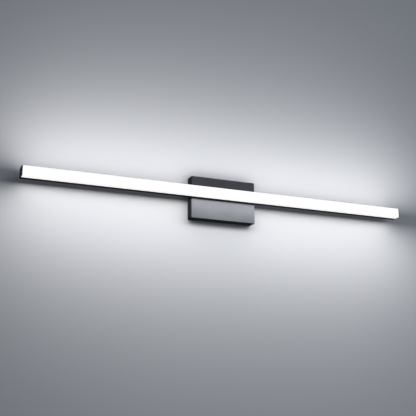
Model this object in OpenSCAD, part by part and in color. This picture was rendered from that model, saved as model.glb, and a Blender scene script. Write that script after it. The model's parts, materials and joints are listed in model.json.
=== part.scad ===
// Vanity light bar: a slim luminous bar bolted across the front of a flat metal canopy.
// +X runs along the bar, +Y points into the wall and +Z is up. The wall is the plane y = 0,
// and the origin is midway between the two slots of the strap that is screwed to the wall box.

/* [Canopy] */
// Width of the canopy
canopy_w = 160; // [156:1:200]
// Height of the canopy
canopy_h = 100; // [98:1:130]
// How far the canopy stands off the wall
canopy_d = 24; // [24:1:32]
// Thickness of the canopy's sheet steel
canopy_t = 1.2; // [0.8:0.1:1.4]
// Outer radius of the canopy's four corners
canopy_r = 2; // [1.5:0.5:4]

/* [Light bar] */
// Length of the bar over its end caps
bar_l = 940; // [600:10:1200]
// Height of the bar
bar_h = 22; // [22:1:26]
// Depth of the bar, front to back
bar_d = 29; // [29:1:34]
// Depth of the luminous front part of the bar
lit_d = 16; // [12:1:16]
// Height of the bar's middle above the canopy's middle
bar_z = 8; // [6:1:12]
// Radius of the bar's long outer edges
bar_r = 1.2; // [0.6:0.2:2]
// Thickness of an end cap
cap_t = 2; // [2:0.5:4]

/* [Wall strap] */
// Distance between the two screws of the wall box
box_spacing = 88.9; // [80:0.1:92]
// Width of a strap slot
slot_w = 5; // [4.5:0.1:6]
// End-to-end length of a strap slot
slot_l = 25; // [16:1:26]
// Height of the strap
strap_h = 38; // [34:1:44]
// Thickness of the strap
strap_t = 1.5; // [1.2:0.1:2]

/* [Lamp boards] */
// Distance between neighbouring light emitting diodes
led_pitch = 12.5; // [10:0.5:15]

/* [Driver] */
// Length of the driver's case
driver_l = 92; // [80:1:92]
// Height of the driver's case
driver_h = 34; // [30:1:34]
// Depth of the driver's case
driver_d = 17; // [17:0.5:17.5]

/* [Hidden] */
$fn = 48;

// Gap left between a screw and its threads, and between parts that slide together
gap = 0.05;
// How far a cutting shape runs past the surface that it cuts
over = 1;

// Planes along Y
face_y = -canopy_d;                 // front of the canopy, back of the bar
inner_y = face_y + canopy_t;        // inside of the canopy's front
front_y = face_y - bar_d;           // front of the bar
split_y = front_y + lit_d;          // where the diffuser meets the channel
floor_t = 2.5;
floor_y = face_y - floor_t;         // floor of the channel, under the boards

// Bar
bar_half = bar_l / 2 - cap_t;       // half length of the channel and the diffuser
channel_wall = 1.6;
port_r = 1.3;                       // screw port in the channel for the end caps
port_skin = 1;
port_dy = 1.6;                      // port axis above the channel's floor
port_dz = bar_h / 2 - channel_wall - 1.5;
port_y = floor_y - port_dy;
rib = 0.7;                          // rib that holds the diffuser's hooks
rib_w = 0.8;
rib_y = split_y + 4.6;
diffuser_wall = 2;
tongue_t = 1.3;
tongue_z = bar_h / 2 - channel_wall - rib - 0.1;    // outer face of a tongue, from the bar's axis
hook_w = 1;

// Screws that hold the bar to the canopy
bar_screw_x = 55;
m4_clear_r = 2.2;
m4_thread_r = 1.75;
m3_thread_r = port_r;

// Screws that hold the canopy to the strap
side_screw_y = -11;
side_screw_l = 8;

// Strap
strap_l = canopy_w - 2 * canopy_t - 0.8;
strap_bend = 1;                     // inner radius of the bend
tab_d = 16;
tab_h = 18;
nipple_r = 5.1;                     // plain hole in the strap's middle
ground_x = 20;
ground_z = 10;
terminal_t = 0.8;
barrel_r = 1.7;                     // crimped barrel of the ground terminal
barrel_y = -strap_t - barrel_r;

// Lamp boards
board_t = 1.2;
board_h = 10;
board_x0 = 14;                      // inner end of a board
board_x1 = bar_half - 4;            // outer end of a board
board_y = floor_y - board_t;        // front face of a board
led_x0 = 26.25;
led_size = [3.5, 0.8, 2.8];
led_count = floor((board_x1 - led_x0 - led_size.x) / led_pitch) + 1;    // on each board
board_screw_slots = [1, floor(led_count / 2) - 1, led_count - 3];   // a screw stands after these diodes
board_hole_r = 1.1;
board_thread_depth = 2;
connector = [8, 4.5, 7.2];
plug_y = board_y - connector.y / 2; // axis of the connector's two holes
plug_dz = 1.8;                      // hole above or below the bar's axis

// Grommet
grommet_r = 4;                      // neck
grommet_flange_r = 5.4;
grommet_flange_t = 1.5;
grommet_bore_r = 2.6;

// Driver
tape_t = 1;
driver_y0 = inner_y + tape_t;       // front of the driver's case
driver_y1 = driver_y0 + driver_d;   // back of the driver's lid
driver_z = -28;                     // middle of the driver
driver_wall = 1.5;
lid_t = 1.5;
pcb_t = 1.2;
pcb_margin = 3;                     // from the case's outside to the board's edge
pcb_y = driver_y0 + driver_wall + 1;            // front of the driver's board
part_y = pcb_y + pcb_t;                         // components stand on this plane

// Leads: radius of the insulation, and routes as points that a smooth curve passes through
mains_r = 1.1;
lamp_r = 0.8;
link_r = 0.5;
lead_y = part_y + mains_r + 0.1;
lead_dz = 4;
nut_z = 22;                         // mouth of a wire nut
nut_l = 20;
nut_y = -12;
nut_x = [-67, -52, 58];             // neutral, live and ground
exit_x = driver_l / 2 - 5;

live_route = [
    [-exit_x, lead_y, driver_z + lead_dz], [-50, lead_y, driver_z + lead_dz], [-55, -16, -21],
    [-57, -14.5, -13], [-56, -13, 0], [-53, -12.3, 12], [-52, nut_y, 20], [-52, nut_y, 27]
];
neutral_route = [
    [-exit_x, lead_y, driver_z - lead_dz], [-50, lead_y, driver_z - lead_dz], [-59, -16.5, -31],
    [-65, -15, -24], [-68, -13.5, -10], [-68, -12.5, 4], [-67, nut_y, 16], [-67, nut_y, 27]
];
ground_route = [
    [ground_x + 9, barrel_y, ground_z], [35, barrel_y - 0.4, 10], [46, -6, 11],
    [55, -9.5, 14], [58, nut_y, 20], [58, nut_y, 27]
];
positive_route = [
    [exit_x, lead_y, driver_z + lead_dz], [50, lead_y, driver_z + lead_dz], [57, -17, -20],
    [60, -17, -8], [58, -16.5, 6], [50, -16, 14], [36, -16, 15], [18, -16, 13],
    [6, -17, bar_z + 2.4], [1.1, inner_y + 2.8, bar_z + 0.8], [0.9, face_y, bar_z + 0.8],
    [0.8, floor_y - 1.6, bar_z + 0.8], [5, plug_y, bar_z + 1.6], [11, plug_y, bar_z + plug_dz],
    [19, plug_y, bar_z + plug_dz]
];
negative_route = [
    [exit_x, lead_y, driver_z - lead_dz], [50, lead_y, driver_z - lead_dz], [60, -17, -29],
    [65, -17, -18], [66, -16.5, 0], [60, -16, 14], [48, -15.5, 19.5], [28, -15.5, 19],
    [8, -15.5, 15.5], [-1.6, -17, bar_z + 2.6], [-1.2, inner_y + 2.3, bar_z - 0.6],
    [-1.2, face_y, bar_z - 0.8], [-0.6, floor_y - 1.1, bar_z - 1], [4, plug_y, bar_z - 1.6],
    [11, plug_y, bar_z - plug_dz], [19, plug_y, bar_z - plug_dz]
];
link_z = 4.3;                       // height of a link above or below the bar's axis
link_route = [
    [-18, board_y - 0.6, 0], [-13, board_y - 0.6, 0], [-8, board_y - 1.5, 0], [0, board_y - 1.9, 0],
    [8, board_y - 1.5, 0], [13, board_y - 0.6, 0], [15.4, board_y - 0.6, 0]
];

// ---- Helpers: shapes -------------------------------------------------------------------------

// Rectangle with round corners, centred on the origin
module rounded_rect(w, h, r) {
    square([w, h - 2 * r], center = true);
    square([w - 2 * r, h], center = true);
    for (x = [-1, 1], y = [-1, 1])
        translate([x * (w / 2 - r), y * (h / 2 - r)]) circle(r);
}

// Box from its lowest corner to its highest
module block(low, high) {
    translate(low) cube(high - low);
}

// Round rod along X or Y between two values of that coordinate
module rod_x(r, x0, x1) {
    translate([x0, 0, 0]) rotate([0, 90, 0]) cylinder(h = x1 - x0, r = r);
}
module rod_y(r, y0, y1) {
    translate([0, y1, 0]) rotate([90, 0, 0]) cylinder(h = y1 - y0, r = r);
}

// Turns a section drawn in the (Y, Z) plane into a bar along X
module along_x(x0, x1) {
    translate([x0, 0, 0]) rotate([90, 0, 90]) linear_extrude(x1 - x0) children();
}

// Turns an outline drawn in the (X, Z) plane into a plate along Y
module along_y(y0, y1) {
    translate([0, y1, 0]) rotate([90, 0, 0]) linear_extrude(y1 - y0) children();
}

// Slot along X that runs through a plate at y = -strap_t to 0
module strap_slot() {
    straight = slot_l - slot_w;
    for (x = [-1, 1])
        translate([x * straight / 2, 0, 0]) rod_y(slot_w / 2, -strap_t - over, over);
    block([-straight / 2, -strap_t - over, -slot_w / 2], [straight / 2, over, slot_w / 2]);
}

// Cross recess of a screwdriver, sunk below z = 0
module cross_recess(size, depth) {
    for (a = [0, 90])
        rotate(a) translate([-size / 2, -size / 10, -depth]) cube([size, size / 5, depth + over]);
}

// Pan head screw with its head's seat at z = 0 and its shank below
module pan_screw(shank_r, shank_l, head_r, head_h) {
    ball_r = 1.6 * head_r;
    difference() {
        union() {
            translate([0, 0, -shank_l]) cylinder(h = shank_l + 0.01, r = shank_r);
            intersection() {
                cylinder(h = head_h, r = head_r);
                translate([0, 0, head_h - ball_r]) sphere(ball_r);
            }
        }
        translate([0, 0, head_h]) cross_recess(1.2 * head_r, 0.5 * head_h);
    }
}

// Countersunk screw with its flat top at z = 0 and its shank below
module flat_screw(shank_r, screw_l, head_r, head_h) {
    difference() {
        union() {
            translate([0, 0, -screw_l]) cylinder(h = screw_l - head_h + 0.01, r = shank_r);
            translate([0, 0, -head_h]) cylinder(h = head_h, r1 = shank_r, r2 = head_r);
        }
        cross_recess(1.2 * head_r, 0.6 * head_h);
    }
}

// ---- Helpers: leads --------------------------------------------------------------------------

lead_sides = 8;
lead_steps = 3;                     // rings between two points of a route

function unit(v) = v / norm(v);

// Point of a Catmull-Rom curve between b and c
function curve_point(a, b, c, d, t) =
    0.5 * (2 * b + (c - a) * t + (2 * a - 5 * b + 4 * c - d) * t * t
        + (3 * b - a - 3 * c + d) * t * t * t);

// Smooth path through every point of a route
function smooth_path(route) =
    let (last = len(route) - 1)
    [
        for (i = [0 : last - 1], s = [0 : lead_steps - 1])
            curve_point(route[max(i - 1, 0)], route[i], route[i + 1], route[min(i + 2, last)],
                s / lead_steps),
        route[last]
    ];

// Direction of a path at its point number i
function path_direction(path, i) =
    unit(path[min(i + 1, len(path) - 1)] - path[max(i - 1, 0)]);

// Ring of points round a path; side_hint is a vector that the path never runs along
function lead_ring(centre, direction, r, side_hint) =
    let (u = unit(cross(side_hint, direction)), v = cross(direction, u))
    [for (k = [0 : lead_sides - 1])
        centre + r * (cos(360 * k / lead_sides) * u + sin(360 * k / lead_sides) * v)];

// Insulated lead along a route
module lead(route, r, side_hint = [0, 1, 0]) {
    path = smooth_path(route);
    rings = len(path);
    points = [for (i = [0 : rings - 1])
        each lead_ring(path[i], path_direction(path, i), r, side_hint)];
    sides = [for (i = [0 : rings - 2], k = [0 : lead_sides - 1])
        let (a = i * lead_sides + k, b = i * lead_sides + (k + 1) % lead_sides)
        [a, a + lead_sides, b + lead_sides, b]];
    start = [for (k = [0 : lead_sides - 1]) k];
    end = [for (k = [lead_sides - 1 : -1 : 0]) (rings - 1) * lead_sides + k];
    polyhedron(points, concat([start, end], sides));
}

// ---- Canopy ----------------------------------------------------------------------------------

// Folded steel box, open towards the wall
module canopy_cover() {
    inner_w = canopy_w - 2 * canopy_t;
    inner_h = canopy_h - 2 * canopy_t;
    color([0.10, 0.10, 0.11])
    difference() {
        along_y(face_y, 0) rounded_rect(canopy_w, canopy_h, canopy_r);
        along_y(inner_y, over) rounded_rect(inner_w, inner_h, canopy_r - canopy_t / 2);
        translate([0, 0, bar_z]) rod_y(grommet_r, face_y - over, 0);
        for (x = [-bar_screw_x, bar_screw_x])
            translate([x, 0, bar_z]) rod_y(m4_clear_r, face_y - over, 0);
        translate([0, side_screw_y, 0])
            rod_x(m4_clear_r, -canopy_w / 2 - over, canopy_w / 2 + over);
    }
}

// Zinc-plated strap: slots for the wall box, and an upturned tab at each end for the cover
module mounting_strap() {
    bend_out = strap_bend + strap_t;
    end_x = strap_l / 2;
    color([0.75, 0.76, 0.78])
    difference() {
        translate([0, 0, -strap_h / 2]) linear_extrude(strap_h) {
            translate([-end_x + bend_out, -strap_t]) square([strap_l - 2 * bend_out, strap_t]);
            for (side = [0, 1]) mirror([side, 0]) {
                translate([end_x - strap_t, -tab_d]) square([strap_t, tab_d - bend_out]);
                translate([end_x - bend_out, -bend_out]) difference() {
                    circle(bend_out);
                    circle(strap_bend);
                    translate([-2 * bend_out, -bend_out]) square(2 * bend_out);
                    translate([-over, -2 * bend_out]) square(2 * bend_out);
                }
            }
        }
        for (side = [-1, 1]) {
            translate([side * box_spacing / 2, 0, 0]) strap_slot();
            for (z = [-1, 1])
                translate([side * end_x, -tab_d / 2, z * (tab_h + strap_h) / 2])
                    cube([8, tab_d + 2 * over, strap_h], center = true);
        }
        translate([0, side_screw_y, 0]) rod_x(m4_thread_r, -end_x - over, end_x + over);
        translate([ground_x, 0, ground_z]) rod_y(m4_thread_r, -strap_t - over, over);
        rod_y(nipple_r, -strap_t - over, over);
    }
}

// Black screws through the canopy's two short sides into the strap's tabs
module cover_screws() {
    color([0.08, 0.08, 0.09])
    for (side = [0, 1]) mirror([side, 0, 0])
        translate([canopy_w / 2, side_screw_y, 0]) rotate([0, 90, 0])
            pan_screw(m4_thread_r - gap, side_screw_l, 3.4, 1.8);
}

// Green screw that holds the ground terminal to the strap
module ground_screw() {
    color([0.15, 0.5, 0.22])
    translate([ground_x, -strap_t - terminal_t, ground_z]) rotate([90, 0, 0])
        pan_screw(m4_thread_r - gap, strap_t + terminal_t, 3.6, 2.2);
}

// Ring terminal: a flat ring and a crimped barrel on the ground lead
module ground_terminal() {
    seat_y = -strap_t;
    ring_r = 4;
    barrel_x1 = 11;
    color([0.85, 0.82, 0.7])
    translate([ground_x, 0, ground_z]) difference() {
        union() {
            rod_y(ring_r, seat_y - terminal_t, seat_y);
            block([0, seat_y - terminal_t, -barrel_r], [8, seat_y, barrel_r]);
            translate([0, barrel_y, 0]) rod_x(barrel_r, 5, barrel_x1);
        }
        rod_y(m4_thread_r + 0.3, seat_y - terminal_t - over, seat_y + over);
        translate([0, barrel_y, 0]) rod_x(mains_r + gap, barrel_x1 - 2.1, barrel_x1 + over);
    }
}

module ground_lead() {
    color([0.15, 0.55, 0.25]) lead(ground_route, mains_r);
}

module live_lead() {
    color([0.06, 0.06, 0.06]) lead(live_route, mains_r);
}

module neutral_lead() {
    color([0.92, 0.92, 0.9]) lead(neutral_route, mains_r);
}

// Tapered plastic connectors, closed at the top and fluted for grip
module wire_nuts() {
    skirt_h = 5;
    skirt_r = 5.4;
    body_r = 5;
    top_r = 3.7;
    tip_h = 2;
    mouth_r = 3.6;
    mouth_h = 9;
    flute_r = 0.6;
    taper = atan((body_r - top_r) / (nut_l - skirt_h - tip_h));
    color([0.9, 0.42, 0.1])
    for (x = nut_x) translate([x, nut_y, nut_z]) difference() {
        union() {
            cylinder(h = skirt_h, r = skirt_r);
            translate([0, 0, skirt_h]) cylinder(h = nut_l - skirt_h - tip_h, r1 = body_r, r2 = top_r);
            translate([0, 0, nut_l - tip_h]) cylinder(h = tip_h, r1 = top_r, r2 = top_r - 0.9);
        }
        translate([0, 0, -over]) cylinder(h = mouth_h + over, r = mouth_r);
        for (a = [0 : 36 : 359]) rotate(a) translate([body_r + 0.3, 0, skirt_h + 1.5])
            rotate([0, -taper, 0]) cylinder(h = nut_l, r = flute_r, $fn = 16);
    }
}

// ---- Driver ----------------------------------------------------------------------------------

// Outline of the driver's case, drawn in the (X, Z) plane
module driver_outline(inset) {
    translate([0, driver_z])
        rounded_rect(driver_l - 2 * inset, driver_h - 2 * inset, 3 - inset / 2);
}

// White plastic tray with two lead holes at each end
module driver_base() {
    color([0.93, 0.93, 0.91])
    difference() {
        along_y(driver_y0, driver_y1 - lid_t) driver_outline(0);
        along_y(driver_y0 + driver_wall, driver_y1) driver_outline(driver_wall);
        for (z = [-lead_dz, lead_dz])
            translate([0, lead_y, driver_z + z])
                rod_x(mains_r + 0.2, -driver_l / 2 - over, driver_l / 2 + over);
    }
}

// Lid that snaps into the tray with a lip all round
module driver_lid() {
    lip_h = 2;
    color([0.9, 0.9, 0.88]) {
        along_y(driver_y1 - lid_t, driver_y1) driver_outline(0);
        difference() {
            along_y(driver_y1 - lid_t - lip_h, driver_y1 - lid_t + 0.01)
                driver_outline(driver_wall + 0.1);
            along_y(driver_y1 - lid_t - lip_h - over, driver_y1 - lid_t)
                driver_outline(2 * driver_wall);
        }
    }
}

module driver_board() {
    color([0.1, 0.4, 0.2])
    translate([0, pcb_y + pcb_t / 2, driver_z])
        cube([driver_l - 2 * pcb_margin, pcb_t, driver_h - 2 * pcb_margin], center = true);
}

// Ferrite core with its winding bobbin between the two outer legs
module driver_transformer() {
    core = [16, 10, 17];
    core_bar = 3;
    bobbin_r = 5;
    color([0.2, 0.2, 0.2])
    translate([2, part_y, driver_z]) {
        difference() {
            block([-core.x / 2, 0, -core.z / 2], [core.x / 2, core.y, core.z / 2]);
            block([-core.x / 2 - over, -over, -core.z / 2 + core_bar],
                [core.x / 2 + over, core.y + over, core.z / 2 - core_bar]);
        }
        translate([0, core.y / 2, -core.z / 2 + core_bar])
            cylinder(h = core.z - 2 * core_bar, r = bobbin_r);
    }
}

// Two electrolytic cans lying on the driver's board: the mains side's and the lamp side's
module driver_capacitors() {
    mains_can_r = 5;
    lamp_can_r = 4;
    color([0.15, 0.16, 0.3])
    translate([0, part_y, driver_z]) {
        translate([0, mains_can_r, 0]) rod_x(mains_can_r, -31, -13);
        translate([0, lamp_can_r, -6]) rod_x(lamp_can_r, 18, 31);
    }
}

// Foam tape that sticks the driver to the inside of the canopy
module driver_tape() {
    margin = 5;
    color([0.3, 0.3, 0.32])
    translate([0, inner_y + tape_t / 2, driver_z])
        cube([driver_l - 2 * margin, tape_t, driver_h - 2 * margin], center = true);
}

module lamp_lead_positive() {
    color([0.75, 0.1, 0.1]) lead(positive_route, lamp_r, [0.1, 0.5, 1]);
}

module lamp_lead_negative() {
    color([0.05, 0.05, 0.06]) lead(negative_route, lamp_r, [0.1, 0.5, 1]);
}

// Rubber grommet that lines the hole through the canopy and the channel
module cable_grommet() {
    color([0.05, 0.05, 0.05])
    translate([0, 0, bar_z]) difference() {
        union() {
            rod_y(grommet_r - gap, floor_y - gap, inner_y + gap);
            rod_y(grommet_flange_r, inner_y, inner_y + grommet_flange_t);
            rod_y(grommet_flange_r, floor_y - grommet_flange_t, floor_y);
        }
        rod_y(grommet_bore_r, floor_y - grommet_flange_t - over, inner_y + grommet_flange_t + over);
    }
}

// ---- Bar -------------------------------------------------------------------------------------

washer_t = 0.8;

// Screws from inside the canopy into the channel's floor
module bar_screws() {
    color([0.7, 0.7, 0.72])
    for (x = [-bar_screw_x, bar_screw_x])
        translate([x, inner_y + washer_t, bar_z]) rotate([-90, 0, 0])
            pan_screw(m4_thread_r - gap, washer_t + canopy_t + floor_t - 0.2, 3.6, 2.6);
}

module bar_washers() {
    color([0.75, 0.75, 0.77])
    for (x = [-bar_screw_x, bar_screw_x]) translate([x, 0, bar_z]) difference() {
        rod_y(4.5, inner_y, inner_y + washer_t);
        rod_y(m4_clear_r, inner_y - over, inner_y + washer_t + over);
    }
}

// Outline of the bar's section, drawn in the (Y, Z) plane
module bar_outline() {
    translate([(face_y + front_y) / 2, bar_z]) rounded_rect(bar_d, bar_h, bar_r);
}

// Section of the channel: floor, two walls, a rib on each wall and a screw port in each corner
module channel_section() {
    difference() {
        union() {
            difference() {
                bar_outline();
                translate([front_y - over, bar_z - bar_h])
                    square([lit_d + over, 2 * bar_h]);
                translate([front_y - over, bar_z - bar_h / 2 + channel_wall])
                    square([bar_d - floor_t + over, bar_h - 2 * channel_wall]);
            }
            for (side = [-1, 1]) {
                translate([port_y, bar_z + side * port_dz]) circle(port_r + port_skin);
                translate([rib_y, bar_z + side * (bar_h / 2 - channel_wall - rib / 2 + 0.1)])
                    square([rib_w, rib + 0.2], center = true);
            }
        }
        for (side = [-1, 1])
            translate([port_y, bar_z + side * port_dz]) circle(port_r);
    }
}

// Black aluminium channel that carries the boards and the diffuser
module bar_channel() {
    color([0.07, 0.07, 0.08])
    difference() {
        along_x(-bar_half, bar_half) channel_section();
        translate([0, 0, bar_z]) rod_y(grommet_r, floor_y - over, 0);
        for (x = [-bar_screw_x, bar_screw_x])
            translate([x, 0, bar_z]) rod_y(m4_thread_r, floor_y - over, 0);
        for (side = [-1, 1], i = board_screw_slots)
            translate([side * board_screw_x(i), 0, bar_z])
                rod_y(board_hole_r, floor_y - over, floor_y + board_thread_depth);
    }
}

// Section of the diffuser: three luminous walls and two hooked tongues that snap into the channel
module diffuser_section() {
    difference() {
        bar_outline();
        translate([split_y, bar_z - bar_h]) square([bar_d, 2 * bar_h]);
        translate([front_y + diffuser_wall, bar_z - bar_h / 2 + diffuser_wall])
            square([bar_d, bar_h - 2 * diffuser_wall]);
    }
    for (side = [0, 1]) translate([0, bar_z]) mirror([0, side]) {
        root_y = split_y - 2.5;
        tip_y = rib_y + rib_w / 2 + 0.1 + hook_w;
        translate([root_y, tongue_z - tongue_t]) square([tip_y - root_y, tongue_t]);
        translate([root_y, tongue_z - tongue_t])
            square([split_y - root_y - 0.1, bar_h / 2 - tongue_z + tongue_t - 0.2]);
        translate([tip_y - hook_w, tongue_z - 0.1]) square([hook_w, rib + 0.1]);
    }
}

// Opal diffuser that wraps the front, the top and the underside of the bar
module diffuser() {
    color([1, 1, 0.98]) along_x(-bar_half, bar_half) diffuser_section();
}

// Place of a board screw that stands after diode number i
function board_screw_x(i) = led_x0 + (i + 0.5) * led_pitch;

// Aluminium-cored lamp board on the right half of the channel's floor
module led_board() {
    color([0.95, 0.95, 0.93])
    difference() {
        block([board_x0, board_y, bar_z - board_h / 2], [board_x1, floor_y, bar_z + board_h / 2]);
        for (i = board_screw_slots)
            translate([board_screw_x(i), 0, bar_z])
                rod_y(board_hole_r + 0.2, board_y - over, floor_y + over);
    }
}

// Row of diodes on the right-hand board
module led_row() {
    color([0.98, 0.9, 0.5])
    for (i = [0 : led_count - 1])
        translate([led_x0 + i * led_pitch, board_y - led_size.y / 2, bar_z])
            cube(led_size, center = true);
}

module led_board_left() {
    mirror([1, 0, 0]) led_board();
}

module led_board_right() {
    led_board();
}

module leds_left() {
    mirror([1, 0, 0]) led_row();
}

module leds_right() {
    led_row();
}

module board_screws() {
    color([0.8, 0.8, 0.8])
    for (side = [-1, 1], i = board_screw_slots)
        translate([side * board_screw_x(i), board_y, bar_z]) rotate([90, 0, 0])
            pan_screw(board_hole_r - gap, board_t + board_thread_depth - 0.2, 2.2, 1.4);
}

// Two short wires that carry the current from the right-hand board to the left-hand one
module board_links() {
    color([0.85, 0.85, 0.85])
    for (side = [-1, 1])
        translate([0, 0, bar_z + side * link_z]) lead(link_route, link_r);
}

// Push-in connector for the two lamp leads, at the inner end of the right-hand board
module lamp_connector() {
    color([0.93, 0.93, 0.9])
    translate([board_x0 + 2, 0, bar_z]) difference() {
        block([0, board_y - connector.y, -connector.z / 2], [connector.x, board_y, connector.z / 2]);
        for (z = [-plug_dz, plug_dz])
            translate([0, plug_y, z]) rod_x(lamp_r + 0.2, -over, 5);
    }
}

// ---- End caps --------------------------------------------------------------------------------

cap_head_r = 2.6;
cap_head_h = 1.4;

// Flat black plate with two countersunk holes, at the right-hand end
module end_cap() {
    x0 = bar_half;
    x1 = bar_half + cap_t;
    color([0.07, 0.07, 0.08])
    difference() {
        along_x(x0, x1) bar_outline();
        for (side = [-1, 1]) translate([0, port_y, bar_z + side * port_dz]) {
            rod_x(port_r + 0.2, x0 - over, x1 + over);
            translate([x1 - cap_head_h, 0, 0]) rotate([0, 90, 0])
                cylinder(h = cap_head_h, r1 = port_r + gap, r2 = cap_head_r + gap);
        }
    }
}

module end_cap_left() {
    mirror([1, 0, 0]) end_cap();
}

module end_cap_right() {
    end_cap();
}

module end_cap_screws() {
    color([0.12, 0.12, 0.13])
    for (mirrored = [0, 1], side = [-1, 1]) mirror([mirrored, 0, 0])
        translate([bar_half + cap_t, port_y, bar_z + side * port_dz]) rotate([0, 90, 0])
            flat_screw(m3_thread_r - gap, 10, cap_head_r, cap_head_h);
}

// ---- Parts -----------------------------------------------------------------------------------

canopy_cover();
mounting_strap();
cover_screws();
ground_screw();
ground_terminal();
ground_lead();
wire_nuts();
live_lead();
neutral_lead();
driver_base();
driver_lid();
driver_board();
driver_transformer();
driver_capacitors();
driver_tape();
lamp_lead_positive();
lamp_lead_negative();
cable_grommet();
bar_screws();
bar_washers();
bar_channel();
diffuser();
led_board_left();
led_board_right();
leds_left();
leds_right();
board_screws();
board_links();
lamp_connector();
end_cap_left();
end_cap_right();
end_cap_screws();
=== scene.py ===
"""Looks of the vanity light bar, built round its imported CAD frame.

Metres; +X runs along the bar, +Y points into the wall, +Z is up, and the wall is the plane y = 0.
"""

import json
import math

import bmesh
import bpy
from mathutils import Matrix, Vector


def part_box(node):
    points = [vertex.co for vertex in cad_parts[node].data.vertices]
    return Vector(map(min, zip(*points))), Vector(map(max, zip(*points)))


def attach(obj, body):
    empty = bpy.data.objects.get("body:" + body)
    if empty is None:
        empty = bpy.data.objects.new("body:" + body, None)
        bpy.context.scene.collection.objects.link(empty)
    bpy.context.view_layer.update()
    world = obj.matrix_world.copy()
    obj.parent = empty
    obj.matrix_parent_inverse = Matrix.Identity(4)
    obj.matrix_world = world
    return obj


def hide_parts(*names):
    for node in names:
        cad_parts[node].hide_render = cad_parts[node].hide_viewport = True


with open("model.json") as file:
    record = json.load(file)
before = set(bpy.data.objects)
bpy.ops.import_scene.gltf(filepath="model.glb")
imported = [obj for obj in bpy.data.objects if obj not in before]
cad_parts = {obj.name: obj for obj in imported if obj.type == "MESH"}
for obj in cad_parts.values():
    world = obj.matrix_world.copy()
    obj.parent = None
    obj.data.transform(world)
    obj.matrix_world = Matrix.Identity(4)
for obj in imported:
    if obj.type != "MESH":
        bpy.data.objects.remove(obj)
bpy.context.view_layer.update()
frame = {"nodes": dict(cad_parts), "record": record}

MM = 0.001
BODY = "root"

# ---- Camera -----------------------------------------------------------------------------------

VIEW_AZIMUTH = math.radians(22.3)       # the camera stands this far to the left
VIEW_RISE = math.radians(15.0)          # and looks up by this much
VIEW_DISTANCE = 1.841
VIEW_TARGET = Vector((-0.0291, 0, -0.0163))
VIEW_LENS = 68.1                        # focal length in millimetres
VIEW_SENSOR = 36                        # width of the sensor in millimetres

# ---- Light and backdrop -----------------------------------------------------------------------

DIFFUSER_GLOW = 0.95                    # strength of the diffuser's own light
DIODE_GLOW = 1.0
LAMP_GAP = 0.3 * MM                     # between the diffuser and the lamps that throw its light
WALL_BACK = 0.3 * MM                    # the backdrop lies this far behind the canopy's rim
FLOOR_Z = -1.6

# ---- Sizes of the pieces built here -----------------------------------------------------------

SHARP_ANGLE = math.radians(40)          # edges that turn more than this look sharp
ROD_SIDES = 32                          # sides of the round holes
OVER = 1 * MM                           # how far a cut goes past the faces that it cuts

CANOPY_SHEET = 1.2 * MM
CANOPY_CORNER = 2 * MM                  # radius of the canopy's four corners
CANOPY_FOLD = 1.5 * MM                  # outer radius of the fold round its front
CORNER_STEPS = 8
SMALLEST_CORNER = 0.3 * MM
BAR_HOLES_Z = 8 * MM                    # height of the holes through the canopy's front
BAR_SCREWS_X = 55 * MM
SIDE_SCREWS_Y = -11 * MM
SCREW_HOLE = 2.2 * MM                   # radius
GROMMET_HOLE = 4 * MM                   # radius

DRIVER_CORNER = 3 * MM
DRIVER_WALL = 1.5 * MM
DRIVER_HOLES_Y = -16.9 * MM             # lead holes in both ends of the driver
DRIVER_HOLES_Z = (-24 * MM, -32 * MM)
DRIVER_HOLE = 1.25 * MM                 # radius
COLLAR_HEIGHT = 0.8 * MM

NUTS_X = (-67 * MM, -52 * MM, 58 * MM)
NUT_FLUTES = 10
NUT_SIDES = 8 * NUT_FLUTES

MAINS_LEAD = 1.1 * MM                   # radius over the insulation
LAMP_LEAD = 0.8 * MM
LEAD_STEPS = 8                          # steps from one point of a route to the next

# Radius, material slot and route of each lead in the canopy. A smooth curve passes through the
# points of the route, which are in millimetres.
LEADS = {
    "live_lead": (MAINS_LEAD, "black_pvc", [
        (-41, -16.9, -24), (-50, -16.9, -24), (-55, -16, -21), (-57, -14.5, -13),
        (-56, -13, 0), (-53, -12.3, 12), (-52, -12, 20), (-52, -12, 27),
    ]),
    "neutral_lead": (MAINS_LEAD, "white_pvc", [
        (-41, -16.9, -32), (-50, -16.9, -32), (-59, -16.5, -31), (-65, -15, -24),
        (-68, -13.5, -10), (-68, -12.5, 4), (-67, -12, 16), (-67, -12, 27),
    ]),
    "ground_lead": (MAINS_LEAD, "green_pvc", [
        (29, -3.2, 10), (35, -3.6, 10), (46, -6, 11), (55, -9.5, 14), (58, -12, 20), (58, -12, 27),
    ]),
    "lamp_lead_positive": (LAMP_LEAD, "red_pvc", [
        (41, -16.9, -24), (50, -16.9, -24), (57, -17, -20), (60, -17, -8), (58, -16.5, 6),
        (50, -16, 14), (36, -16, 15), (18, -16, 13), (6, -17, 10.4), (1.1, -20, 8.8),
        (0.9, -24, 8.8), (0.8, -28.1, 8.8), (5, -29.95, 9.6), (11, -29.95, 9.8), (19, -29.95, 9.8),
    ]),
    "lamp_lead_negative": (LAMP_LEAD, "black_pvc", [
        (41, -16.9, -32), (50, -16.9, -32), (60, -17, -29), (65, -17, -18), (66, -16.5, 0),
        (60, -16, 14), (48, -15.5, 19.5), (28, -15.5, 19), (8, -15.5, 15.5), (-1.6, -17, 10.6),
        (-1.2, -20.5, 7.4), (-1.2, -24, 7.2), (-0.6, -27.6, 7), (4, -29.95, 6.4),
        (11, -29.95, 6.2), (19, -29.95, 6.2),
    ]),
}

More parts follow.
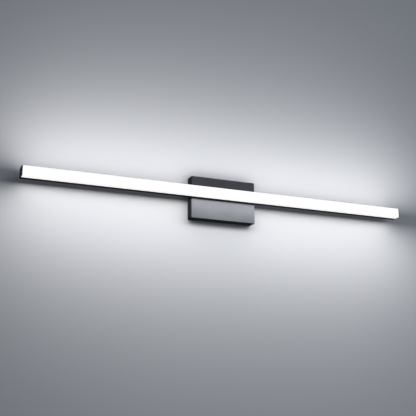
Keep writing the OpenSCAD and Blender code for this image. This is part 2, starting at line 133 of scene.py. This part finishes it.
# How far the edges of CAD pieces are rounded, in millimetres
EDGE_ROUNDING = {
    "bar_channel": 0.25,
    "diffuser": 0.3,
    "end_cap_left": 0.35,
    "end_cap_right": 0.35,
    "end_cap_screws": 0.1,
    "mounting_strap": 0.2,
    "cover_screws": 0.12,
    "ground_screw": 0.1,
    "ground_terminal": 0.1,
    "bar_screws": 0.1,
    "bar_washers": 0.12,
    "lamp_connector": 0.2,
}
ROUNDED_ANGLE = math.radians(35)        # edges that turn more than this are rounded


# ---- Material building blocks -----------------------------------------------------------------

NOISE_LOW = 0.3                         # most of a noise lies between these two values
NOISE_HIGH = 0.7


class Paint:
    """A node material with one Principled shader, and short ways to add detail to it."""

    def __init__(self, name, values):
        self.name = name
        self.material = bpy.data.materials.new(name)
        self.material.use_nodes = True
        self.tree = self.material.node_tree
        self.tree.nodes.clear()
        self.shader = self.node("ShaderNodeBsdfPrincipled")
        self.output = self.node("ShaderNodeOutputMaterial")
        self.link(self.shader.outputs["BSDF"], self.output.inputs["Surface"])
        self.place = self.node("ShaderNodeTexCoord").outputs["Object"]
        for socket, value in values.items():
            self.shader.inputs[socket].default_value = value

    def node(self, kind, **settings):
        made = self.tree.nodes.new(kind)
        for name, value in settings.items():
            setattr(made, name, value)
        return made

    def link(self, source, target):
        self.tree.links.new(source, target)

    def stretched(self, stretch):
        """The place on the object in millimetres, with each axis divided by its stretch."""
        mapping = self.node("ShaderNodeMapping")
        mapping.inputs["Scale"].default_value = [1 / MM / s for s in stretch]
        self.link(self.place, mapping.inputs["Vector"])
        return mapping.outputs["Vector"]

    def noise(self, size_mm, detail=3.0, stretch=(1, 1, 1)):
        """Soft noise with features of about size_mm, mostly from NOISE_LOW to NOISE_HIGH."""
        made = self.node("ShaderNodeTexNoise")
        made.inputs["Scale"].default_value = 1 / size_mm
        made.inputs["Detail"].default_value = detail
        self.link(self.stretched(stretch), made.inputs["Vector"])
        return made.outputs["Fac"]

    def pebbles(self, size_mm):
        """Distance to the middle of the nearest of many pebbles of about size_mm."""
        made = self.node("ShaderNodeTexVoronoi", feature="SMOOTH_F1")
        made.inputs["Scale"].default_value = 1 / size_mm
        self.link(self.stretched((1, 1, 1)), made.inputs["Vector"])
        return made.outputs["Distance"]

    def colour(self, source, dark, light):
        """Colour from dark to light as source goes from NOISE_LOW to NOISE_HIGH."""
        ramp = self.node("ShaderNodeValToRGB")
        first, last = ramp.color_ramp.elements
        first.position = NOISE_LOW
        first.color = (*dark, 1)
        last.position = NOISE_HIGH
        last.color = (*light, 1)
        self.link(source, ramp.inputs["Fac"])
        self.link(ramp.outputs["Color"], self.shader.inputs["Base Color"])
        return self

    def rough(self, source, low, high):
        """Roughness from low to high as source goes from NOISE_LOW to NOISE_HIGH."""
        spread = self.node("ShaderNodeMapRange")
        spread.inputs["From Min"].default_value = NOISE_LOW
        spread.inputs["From Max"].default_value = NOISE_HIGH
        spread.inputs["To Min"].default_value = low
        spread.inputs["To Max"].default_value = high
        self.link(source, spread.inputs["Value"])
        self.link(spread.outputs["Result"], self.shader.inputs["Roughness"])
        return self

    def bump(self, source, depth_mm):
        """Height detail; a second call adds to the first."""
        made = self.node("ShaderNodeBump")
        made.inputs["Distance"].default_value = depth_mm * MM
        self.link(source, made.inputs["Height"])
        normal = self.shader.inputs["Normal"]
        if normal.is_linked:
            self.link(normal.links[0].from_socket, made.inputs["Normal"])
        self.link(made.outputs["Normal"], normal)
        return self

    def mixed(self, factor, other):
        """The other shader where factor is 0, and the Principled one where it is 1."""
        mix = self.node("ShaderNodeMixShader")
        self.link(factor, mix.inputs[0])
        self.link(other.outputs[0], mix.inputs[1])
        self.link(self.shader.outputs["BSDF"], mix.inputs[2])
        self.link(mix.outputs[0], self.output.inputs["Surface"])
        return self


def scaled(colour, factor):
    return tuple(c * factor for c in colour)


# ---- Materials of the object ------------------------------------------------------------------

def powder_coat():
    """Satin charcoal powder coat: fine grain, a wider swell and a slight cloud in the colour."""
    paint = Paint("black_powder_coat", {"Metallic": 0.35})
    grain = paint.noise(0.45, detail=4)
    paint.colour(paint.noise(30), (0.115, 0.118, 0.124), (0.135, 0.138, 0.144))
    return paint.rough(grain, 0.42, 0.52).bump(grain, 0.02).bump(paint.noise(2.5), 0.03)


def anodised():
    """Black anodised aluminium with the faint lines of its extrusion along X."""
    paint = Paint("black_anodised", {"Metallic": 0.7})
    lines = paint.noise(0.3, detail=5, stretch=(200, 1, 1))
    paint.colour(paint.noise(12), (0.018, 0.018, 0.020), (0.026, 0.026, 0.029))
    return paint.rough(lines, 0.34, 0.5).bump(lines, 0.01)


def opal():
    """Lit opal acrylic: a satin skin over an even white glow."""
    paint = Paint("opal_acrylic", {
        "IOR": 1.49,
        "Emission Color": (1, 0.99, 0.975, 1),
        "Emission Strength": DIFFUSER_GLOW,
    })
    paint.colour(paint.noise(8), (0.66, 0.66, 0.65), (0.74, 0.74, 0.73))
    return paint.rough(paint.noise(0.8), 0.4, 0.55).bump(paint.noise(0.5, detail=4), 0.01)


def zinc():
    """Bright zinc plate: cloudy, with faint brushing along X."""
    paint = Paint("zinc_plate", {"Metallic": 0.7})
    brushing = paint.noise(0.25, stretch=(30, 1, 1))
    paint.colour(paint.noise(6, detail=4), (0.60, 0.62, 0.65), (0.78, 0.78, 0.76))
    return paint.rough(paint.noise(1.5), 0.3, 0.46).bump(brushing, 0.006)


def metal(name, colour, roughness=0.3):
    """Small plated or blackened metal piece with handling marks."""
    paint = Paint(name, {"Metallic": 1.0})
    paint.colour(paint.noise(1.2, detail=4), scaled(colour, 0.8), scaled(colour, 1.1))
    paint.rough(paint.noise(0.6), roughness - 0.05, roughness + 0.12)
    return paint.bump(paint.noise(0.2), 0.004)


def moulded(name, colour, roughness=0.45, grain_mm=0.02):
    """Moulded plastic or rubber: spark-eroded grain and slightly uneven colour."""
    paint = Paint(name, {})
    grain = paint.noise(0.35, detail=4)
    paint.colour(paint.noise(5), scaled(colour, 0.9), scaled(colour, 1.06))
    return paint.rough(grain, roughness - 0.06, roughness + 0.08).bump(grain, grain_mm)


def foam():
    """Closed-cell foam: small pits all over."""
    paint = Paint("foam_tape", {"Roughness": 0.95})
    pits = paint.pebbles(0.5)
    return paint.colour(pits, (0.13, 0.13, 0.135), (0.24, 0.24, 0.25)).bump(pits, 0.08)


def diode():
    """Lit yellow phosphor in a diode's window."""
    yellow = (1.0, 0.86, 0.5)
    paint = Paint("diode", {"Emission Color": (*yellow, 1), "Emission Strength": DIODE_GLOW})
    paint.colour(paint.noise(0.6), scaled(yellow, 0.85), yellow)
    return paint.rough(paint.noise(0.4), 0.3, 0.45)


PAINTS = (
    powder_coat(),
    anodised(),
    opal(),
    zinc(),
    foam(),
    diode(),
    metal("black_screw", (0.03, 0.03, 0.032), 0.38),
    metal("green_screw", (0.05, 0.32, 0.12)),
    metal("tinned_copper", (0.78, 0.75, 0.66)),
    moulded("green_pvc", (0.05, 0.30, 0.10), 0.4, 0.01),
    moulded("black_pvc", (0.02, 0.02, 0.02), 0.4, 0.01),
    moulded("white_pvc", (0.80, 0.80, 0.77), 0.4, 0.01),
    moulded("red_pvc", (0.55, 0.03, 0.03), 0.4, 0.01),
    moulded("orange_plastic", (0.80, 0.25, 0.04)),
    moulded("driver_plastic", (0.80, 0.80, 0.78), 0.5, 0.03),
    moulded("circuit_board", (0.03, 0.22, 0.08), 0.35, 0.005),
    moulded("ferrite", (0.09, 0.09, 0.09), 0.7, 0.03),
    moulded("capacitor_sleeve", (0.05, 0.06, 0.16), 0.25, 0.004),
    moulded("black_rubber", (0.03, 0.03, 0.03), 0.65, 0.01),
    moulded("white_board", (0.86, 0.86, 0.84), 0.35, 0.004),
)
materials = {paint.name: paint.material for paint in PAINTS}


# ---- CAD pieces -------------------------------------------------------------------------------

def round_edges(piece, width_mm):
    weld = piece.modifiers.new("weld", "WELD")
    weld.merge_threshold = 0.001 * MM
    bevel = piece.modifiers.new("bevel", "BEVEL")
    bevel.width = width_mm * MM
    bevel.segments = 2
    bevel.limit_method = "ANGLE"
    bevel.angle_limit = ROUNDED_ANGLE


def finish_cad_pieces():
    """Gives each CAD piece its material and, where that shows, round edges."""
    for part in frame["record"]["subparts"]:
        name = part["node"]
        piece = frame["nodes"][name]
        piece.data.materials.clear()
        piece.data.materials.append(materials[part["material_slot"]])
        if name in EDGE_ROUNDING:
            round_edges(piece, EDGE_ROUNDING[name])


# ---- Shape building blocks --------------------------------------------------------------------

def add_object(name, data):
    made = bpy.data.objects.new(name, data)
    bpy.context.scene.collection.objects.link(made)
    return made


def arc(centre, radius, start, end, steps=6):
    """Points of an arc from the angle start to the angle end, in degrees."""
    angles = [math.radians(start + (end - start) * i / steps) for i in range(steps + 1)]
    return [(centre[0] + radius * math.cos(a), centre[1] + radius * math.sin(a)) for a in angles]


def circle(radius, sides):
    return arc((0, 0), radius, 0, 360, sides)[:-1]


def loft(mesh, rings):
    """Skin over rings that have the same number of points, closed at both ends."""
    rows = [[mesh.verts.new(point) for point in ring] for ring in rings]
    count = len(rows[0])
    for one, two in zip(rows, rows[1:]):
        for i in range(count):
            j = (i + 1) % count
            mesh.faces.new((one[i], one[j], two[j], two[i]))
    mesh.faces.new(rows[0])
    mesh.faces.new(rows[-1])


def plate(mesh, low, high, corner, profile):
    """Body whose outline in the (X, Z) plane is a rectangle from low to high with round corners.

    profile lists (inset, y): how far the outline is pulled in at each depth.
    """
    rings = []
    for inset, y in profile:
        radius = max(corner - inset, SMALLEST_CORNER)
        x0, x1 = low[0] + inset + radius, high[0] - inset - radius
        z0, z1 = low[1] + inset + radius, high[1] - inset - radius
        outline = [
            *arc((x1, z1), radius, 0, 90, CORNER_STEPS),
            *arc((x0, z1), radius, 90, 180, CORNER_STEPS),
            *arc((x0, z0), radius, 180, 270, CORNER_STEPS),
            *arc((x1, z0), radius, 270, 360, CORNER_STEPS),
        ]
        rings.append([(x, y, z) for x, z in outline])
    loft(mesh, rings)


def rod_x(mesh, x0, x1, y, z, radius):
    """Round rod along X, between two places, to cut a hole with."""
    loft(mesh, [[(x, y + b, z + a) for a, b in circle(radius, ROD_SIDES)] for x in (x0, x1)])


def rod_y(mesh, y0, y1, x, z, radius):
    """Round rod along Y, between two places, to cut a hole with."""
    loft(mesh, [[(x + a, y, z + b) for a, b in circle(radius, ROD_SIDES)] for y in (y0, y1)])


def mesh_data(name, mesh):
    """Turns a bmesh into mesh data whose faces look outwards, and frees the bmesh."""
    bmesh.ops.recalc_face_normals(mesh, faces=mesh.faces)
    data = bpy.data.meshes.new(name)
    mesh.to_mesh(data)
    mesh.free()
    return data


def cut_out(solid, holes):
    """One closed shape: the shapes in solid joined, without the shapes in holes."""
    blank = add_object("blank", mesh_data("blank", solid))
    tool = add_object("tool", mesh_data("tool", holes))
    cut = blank.modifiers.new("cut", "BOOLEAN")
    cut.object = tool
    cut.operation = "DIFFERENCE"
    cut.solver = "EXACT"
    cut.use_self = True
    result = bmesh.new()
    result.from_object(blank, bpy.context.evaluated_depsgraph_get())
    for temporary in (blank, tool):
        bpy.data.meshes.remove(temporary.data)      # its object goes with it
    return result


def place_piece(name, data, slot, *nodes):
    """Puts a new piece on the body, with its material, in the place of CAD nodes."""
    data.materials.append(materials[slot])
    piece = add_object(name, data)
    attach(piece, BODY)
    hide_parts(*nodes)
    return piece


def mesh_piece(name, slot, mesh, *nodes):
    """Puts a bmesh on the body as a new piece, smooth where it turns gently."""
    data = mesh_data(name, mesh)
    data.shade_smooth()
    data.set_sharp_from_angle(angle=SHARP_ANGLE)
    piece = place_piece(name, data, slot, *nodes)
    flat = piece.modifiers.new("flat_faces_stay_flat", "WEIGHTED_NORMAL")
    flat.keep_sharp = True
    return piece


# ---- Canopy -----------------------------------------------------------------------------------

def build_canopy():
    """Folded sheet-steel box, open towards the wall, with round folds, a soft rim and holes.

    The holes are for the two bar screws, the grommet between them and the two side screws.
    """
    low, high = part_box("canopy_cover")
    face_y = low.y
    rim_y = high.y
    inner_y = face_y + CANOPY_SHEET
    inner_fold = 0.6 * MM
    rim = 0.3 * MM
    profile = [
        *arc((CANOPY_SHEET + inner_fold, inner_y + inner_fold), inner_fold, -90, -180),
        *arc((CANOPY_SHEET - rim, rim_y - rim), rim, 0, 90, 3),
        *arc((rim, rim_y - rim), rim, 90, 180, 3),
        *arc((CANOPY_FOLD, face_y + CANOPY_FOLD), CANOPY_FOLD, 180, 270),
    ]
    mesh = bmesh.new()
    plate(mesh, (low.x, low.z), (high.x, high.z), CANOPY_CORNER, profile)

    holes = bmesh.new()
    for x, radius in ((-BAR_SCREWS_X, SCREW_HOLE), (0, GROMMET_HOLE), (BAR_SCREWS_X, SCREW_HOLE)):
        rod_y(holes, face_y - OVER, inner_y + OVER, x, BAR_HOLES_Z, radius)
    for x, side in ((low.x, -1), (high.x, 1)):
        inside = x - side * (CANOPY_SHEET + OVER)
        outside = x + side * OVER
        rod_x(holes, inside, outside, SIDE_SCREWS_Y, 0, SCREW_HOLE)
    return mesh_piece("canopy", "black_powder_coat", cut_out(mesh, holes), "canopy_cover")


# ---- Leads and wire nuts ----------------------------------------------------------------------

def curve_point(a, b, c, d, t):
    """Point between b and c on the smooth curve through a, b, c and d."""
    return 0.5 * (
        2 * b
        + (c - a) * t
        + (2 * a - 5 * b + 4 * c - d) * t ** 2
        + (3 * b - a - 3 * c + d) * t ** 3
    )


def smooth_path(route):
    """Closely spaced points, in metres, on a smooth curve through a route in millimetres."""
    points = [Vector(point) * MM for point in route]
    points = [points[0], *points, points[-1]]
    path = []
    for a, b, c, d in zip(points, points[1:], points[2:], points[3:]):
        path += [curve_point(a, b, c, d, step / LEAD_STEPS) for step in range(LEAD_STEPS)]
    return [*path, points[-1]]


def build_leads():
    """Round leads that are closed at both ends."""
    for node, (radius, slot, route) in LEADS.items():
        path = smooth_path(route)
        data = bpy.data.curves.new(node + "_tube", "CURVE")
        data.dimensions = "3D"
        data.bevel_depth = radius
        data.bevel_resolution = 6
        data.use_fill_caps = True
        spline = data.splines.new("POLY")
        spline.points.add(len(path) - 1)
        for point, place in zip(spline.points, path):
            point.co = (*place, 1)
        place_piece(node + "_tube", data, slot, node)


def build_wire_nuts():
    """Tapered connectors: a plain skirt, a fluted grip, a closed top and a hollow mouth."""
    low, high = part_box("wire_nuts")
    skirt = (high.y - low.y) / 2
    height = high.z - low.z
    y = (low.y + high.y) / 2
    # Radius as a share of the skirt's, height as a share of the whole, and depth of the flutes
    profile = [
        (0.64, 0.45, 0), (0.66, 0.02, 0), (0.70, 0, 0), (0.96, 0, 0), (1, 0.02, 0),
        (1, 0.22, 0), (0.98, 0.24, 0), (0.94, 0.25, 0), (0.925, 0.28, 0.02), (0.91, 0.33, 0.12),
        (0.72, 0.84, 0.12), (0.70, 0.89, 0.04), (0.685, 0.91, 0), (0.62, 0.97, 0), (0.52, 1, 0),
    ]
    mesh = bmesh.new()
    for x in NUTS_X:
        rings = []
        for share, up, flute in profile:
            ring = []
            for i in range(NUT_SIDES):
                angle = math.tau * i / NUT_SIDES
                groove = (0.5 + 0.5 * math.cos(NUT_FLUTES * angle)) ** 2
                r = skirt * share * (1 - flute * groove)
                ring.append((x + r * math.cos(angle), y + r * math.sin(angle), low.z + height * up))
            rings.append(ring)
        loft(mesh, rings)
    mesh_piece("wire_connectors", "orange_plastic", mesh, "wire_nuts")


# ---- Driver -----------------------------------------------------------------------------------

def add_collar(mesh, x, z, side):
    """Raised boss round a lead hole in an end of the driver; side is its direction along X."""
    sides = 24
    foot = -0.2 * MM                    # the boss starts this far inside the driver's end
    chamfer = 0.2 * MM
    # Radius, and height above the driver's end
    profile = [
        (2.3 * MM, foot),
        (2.1 * MM, COLLAR_HEIGHT - chamfer),
        (1.9 * MM, COLLAR_HEIGHT),
    ]
    rings = []
    for radius, out in profile:
        ring = circle(radius, sides)
        rings.append([(x + side * out, DRIVER_HOLES_Y + b, z + a) for a, b in ring])
    loft(mesh, rings)


def build_driver_tray():
    """Hollow tray with a round front edge, a small groove at the seam and collars for the leads."""
    low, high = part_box("driver_base")
    seam = 0.25 * MM
    inner_fold = 0.5 * MM
    fold = 1.5 * MM
    floor_y = low.y + DRIVER_WALL
    profile = [
        *arc((DRIVER_WALL + inner_fold, floor_y + inner_fold), inner_fold, -90, -180, 3),
        (DRIVER_WALL, high.y),
        *arc((seam, high.y - seam), seam, 90, 180, 3),
        *arc((fold, low.y + fold), fold, 180, 270),
    ]
    mesh = bmesh.new()
    plate(mesh, (low.x, low.z), (high.x, high.z), DRIVER_CORNER, profile)
    holes = bmesh.new()
    for z in DRIVER_HOLES_Z:
        for x, side in ((low.x, -1), (high.x, 1)):
            add_collar(mesh, x, z, side)
            inside = x - side * (DRIVER_WALL + OVER)
            outside = x + side * (COLLAR_HEIGHT + OVER)
            rod_x(holes, inside, outside, DRIVER_HOLES_Y, z, DRIVER_HOLE)
    mesh_piece("driver_tray", "driver_plastic", cut_out(mesh, holes), "driver_base")


def build_driver_cover():
    """Lid that faces the wall, with a sunk panel that carries a row of cooling ribs."""
    low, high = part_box("driver_lid")
    seam_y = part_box("driver_base")[1].y
    top_y = high.y
    seam = 0.25 * MM
    fold = 0.8 * MM
    frame_w = 3.5 * MM
    sunk = 0.5 * MM
    rib_count = 15
    rib_pitch = 5 * MM
    rib_w = 1.4 * MM
    rib_fold = 0.3 * MM
    rib_corner = 0.5 * MM
    rib_gap = 3 * MM                    # from the ribs' ends to the panel's edge

    mesh = bmesh.new()
    profile = [
        (DRIVER_CORNER, seam_y),
        *arc((seam, seam_y + seam), seam, -90, -180, 3),
        *arc((fold, top_y - fold), fold, 180, 90),
        (frame_w, top_y),
        (frame_w + sunk / 2, top_y - sunk),
    ]
    plate(mesh, (low.x, low.z), (high.x, high.z), DRIVER_CORNER, profile)
    middle = (low.x + high.x) / 2
    rib_z0 = low.z + frame_w + rib_gap
    rib_z1 = high.z - frame_w - rib_gap
    rib_profile = [(0, top_y - sunk), *arc((rib_fold, top_y - rib_fold), rib_fold, 180, 90, 3)]
    for i in range(rib_count):
        x = middle + (i - (rib_count - 1) / 2) * rib_pitch
        plate(mesh, (x - rib_w / 2, rib_z0), (x + rib_w / 2, rib_z1), rib_corner, rib_profile)
    mesh_piece("driver_cover", "driver_plastic", mesh, "driver_lid")


# ---- Camera and backdrop ----------------------------------------------------------------------

def add_camera():
    data = bpy.data.cameras.new("camera")
    data.lens = VIEW_LENS
    data.sensor_width = VIEW_SENSOR
    camera = add_object("camera", data)
    forward = Vector((
        math.sin(VIEW_AZIMUTH) * math.cos(VIEW_RISE),
        math.cos(VIEW_AZIMUTH) * math.cos(VIEW_RISE),
        math.sin(VIEW_RISE),
    ))
    camera.location = VIEW_TARGET - VIEW_DISTANCE * forward
    camera.rotation_mode = "QUATERNION"
    camera.rotation_quaternion = forward.to_track_quat("-Z", "Y")
    bpy.context.scene.camera = camera


def wall_paint():
    """Pale matt paint that only a viewer in front of the wall sees.

    The back of the object can be looked at too, and the wall keeps no light off the object.
    """
    paint = Paint("wall_paint", {"Roughness": 0.9, "Specular IOR Level": 0.1})
    paint.colour(paint.noise(400), (0.732, 0.742, 0.757), (0.748, 0.758, 0.773))
    shown = paint.node("ShaderNodeMath", operation="SUBTRACT", use_clamp=True)
    paint.link(paint.node("ShaderNodeLightPath").outputs["Is Camera Ray"], shown.inputs[0])
    paint.link(paint.node("ShaderNodeNewGeometry").outputs["Backfacing"], shown.inputs[1])
    return paint.mixed(shown.outputs[0], paint.node("ShaderNodeBsdfTransparent")).material


def floor_paint():
    """Pale matt floor that throws little light back up at the object."""
    paint = Paint("floor_paint", {"Roughness": 0.8, "Specular IOR Level": 0.2})
    paint.colour(paint.noise(300), (0.677, 0.687, 0.707), (0.683, 0.693, 0.713))
    dull = paint.node("ShaderNodeBsdfDiffuse")
    dull.inputs["Color"].default_value = (0.05, 0.05, 0.05, 1)
    return paint.mixed(paint.node("ShaderNodeLightPath").outputs["Is Camera Ray"], dull).material


def backdrop(name, corners, material):
    mesh = bpy.data.meshes.new(name)
    mesh.from_pydata(corners, [], [range(4)])
    mesh.materials.append(material)
    made = add_object(name, mesh)
    return made


def add_wall():
    side = 1.9
    y = WALL_BACK
    top = 1.3
    corners = [(-side, y, FLOOR_Z), (side, y, FLOOR_Z), (side, y, top), (-side, y, top)]
    return backdrop("wall", corners, wall_paint())


def add_floor():
    far = 60
    z = FLOOR_Z
    corners = [(-far, -far, z), (far, -far, z), (far, far, z), (-far, far, z)]
    return backdrop("floor", corners, floor_paint())


# ---- Lights -----------------------------------------------------------------------------------

def place_lamp(data, place, direction, only=(), without=()):
    """Puts a lamp in the scene. It lights only some objects, all without some, or all."""
    lamp = add_object(data.name, data)
    lamp.location = place
    lamp.rotation_mode = "QUATERNION"
    lamp.rotation_quaternion = Vector(direction).to_track_quat("-Z", "Y")
    lamp.visible_camera = False
    if only or without:
        named = bpy.data.collections.new(data.name + "_objects")
        for thing in (*only, *without):
            named.objects.link(thing)
        for entry in named.collection_objects:
            entry.light_linking.link_state = "INCLUDE" if only else "EXCLUDE"
        lamp.light_linking.receiver_collection = named


def panel_lamp(name, size, power, colour, place, direction, **lit):
    """Rectangular lamp; lit says what it lights, as in place_lamp."""
    data = bpy.data.lights.new(name, "AREA")
    data.shape = "RECTANGLE"
    data.size, data.size_y = size
    data.energy = power
    data.color = colour
    place_lamp(data, place, direction, **lit)


def sun_lamp(name, strength, colour, direction, **lit):
    """Soft sun; lit says what it lights, as in place_lamp."""
    data = bpy.data.lights.new(name, "SUN")
    data.energy = strength
    data.angle = math.radians(30)
    data.color = colour
    anywhere = (0, 0, 2)                # the place of a sun makes no difference
    place_lamp(data, anywhere, direction, **lit)


def add_lights(wall, floor, canopy):
    """The bar's glow, as lamps along its top and underside, and soft studio light all round."""
    up = (0, 0, 1)
    down = (0, 0, -1)
    warm = (1.0, 0.985, 0.965)
    neutral = (0.99, 0.985, 1.0)
    cool = (0.93, 0.96, 1.0)
    cooler = (0.86, 0.92, 1.0)
    lit_low, lit_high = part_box("diffuser")
    top = lit_high.z + LAMP_GAP
    under = lit_low.z - LAMP_GAP
    along_bar = (lit_high.x - lit_low.x, 0.016)
    canopy_front = (0.25, 0.083)
    cover = [canopy, frame["nodes"]["cover_screws"]]

    panel_lamp("bar_up", along_bar, 0.092, warm, (0, -0.028, top), up, only=[wall])
    panel_lamp("near_haze_up", (0.95, 0.03), 0.24, neutral, (0, -0.055, top), up, only=[wall])
    panel_lamp("haze_up", (1.05, 0.09), 1.5, neutral, (0.025, -0.135, top), up, only=[wall])
    panel_lamp("bar_down", along_bar, 0.27, warm, (0, -0.028, under), down, only=[wall])
    panel_lamp("haze_down", (1.05, 0.08), 1.33, neutral, (0, -0.12, under), down, only=[wall])
    panel_lamp("wide_haze", (1.2, 0.1), 0.58, neutral, (0.14, -0.22, under), down, only=[wall])
    panel_lamp("canopy_up", canopy_front, 0.015, cool, (0.025, -0.0705, top), up, only=cover)
    panel_lamp("canopy_down", canopy_front, 0.33, cool, (0.025, -0.0705, under), down, only=cover)

    studio = (2.4, 1.6)
    panel_lamp("front_fill", studio, 12, cooler, (1.1, -2.7, 0.9), (-1.1, 2.7, -0.9))
    panel_lamp("low_fill", studio, 3.2, cooler, (1.2, -1.5, -1.3), (-0.3, 1.5, 1.0), only=[wall])
    panel_lamp("back_fill", studio, 130, cool, (1.0, 2.4, 1.5), (-1.0, -2.4, -1.5),
               without=[wall, floor])
    panel_lamp("side_fill", studio, 14, cool, (3.0, -0.2, 0.5), (-3.0, 0.2, -0.5),
               without=[wall, floor])
    sun_lamp("floor_light", 2.2, cool, (0.1, 0.2, -1), only=[floor])


def add_world():
    """A dim cool sky that lights the object, and a pale one to look at."""
    world = bpy.data.worlds.new("world")
    world.use_nodes = True
    tree = world.node_tree
    dim = tree.nodes["Background"]
    dim.inputs["Color"].default_value = (0.75, 0.82, 1.0, 1)
    dim.inputs["Strength"].default_value = 0.13
    pale = tree.nodes.new("ShaderNodeBackground")
    pale.inputs["Color"].default_value = (0.84, 0.90, 1.0, 1)
    pale.inputs["Strength"].default_value = 0.57
    seen = tree.nodes.new("ShaderNodeLightPath").outputs["Is Camera Ray"]
    mix = tree.nodes.new("ShaderNodeMixShader")
    tree.links.new(seen, mix.inputs[0])
    tree.links.new(dim.outputs[0], mix.inputs[1])
    tree.links.new(pale.outputs[0], mix.inputs[2])
    tree.links.new(mix.outputs[0], tree.nodes["World Output"].inputs["Surface"])
    bpy.context.scene.world = world
    bpy.context.scene.view_settings.view_transform = "Standard"


# ---- Scene ------------------------------------------------------------------------------------

finish_cad_pieces()
new_canopy = build_canopy()
build_leads()
build_wire_nuts()
build_driver_tray()
build_driver_cover()

# The lamps throw the bar's light, so the diffuser's glow is only looked at
frame["nodes"]["diffuser"].visible_diffuse = False
frame["nodes"]["diffuser"].visible_glossy = False

add_camera()
add_lights(add_wall(), add_floor(), new_canopy)
add_world()
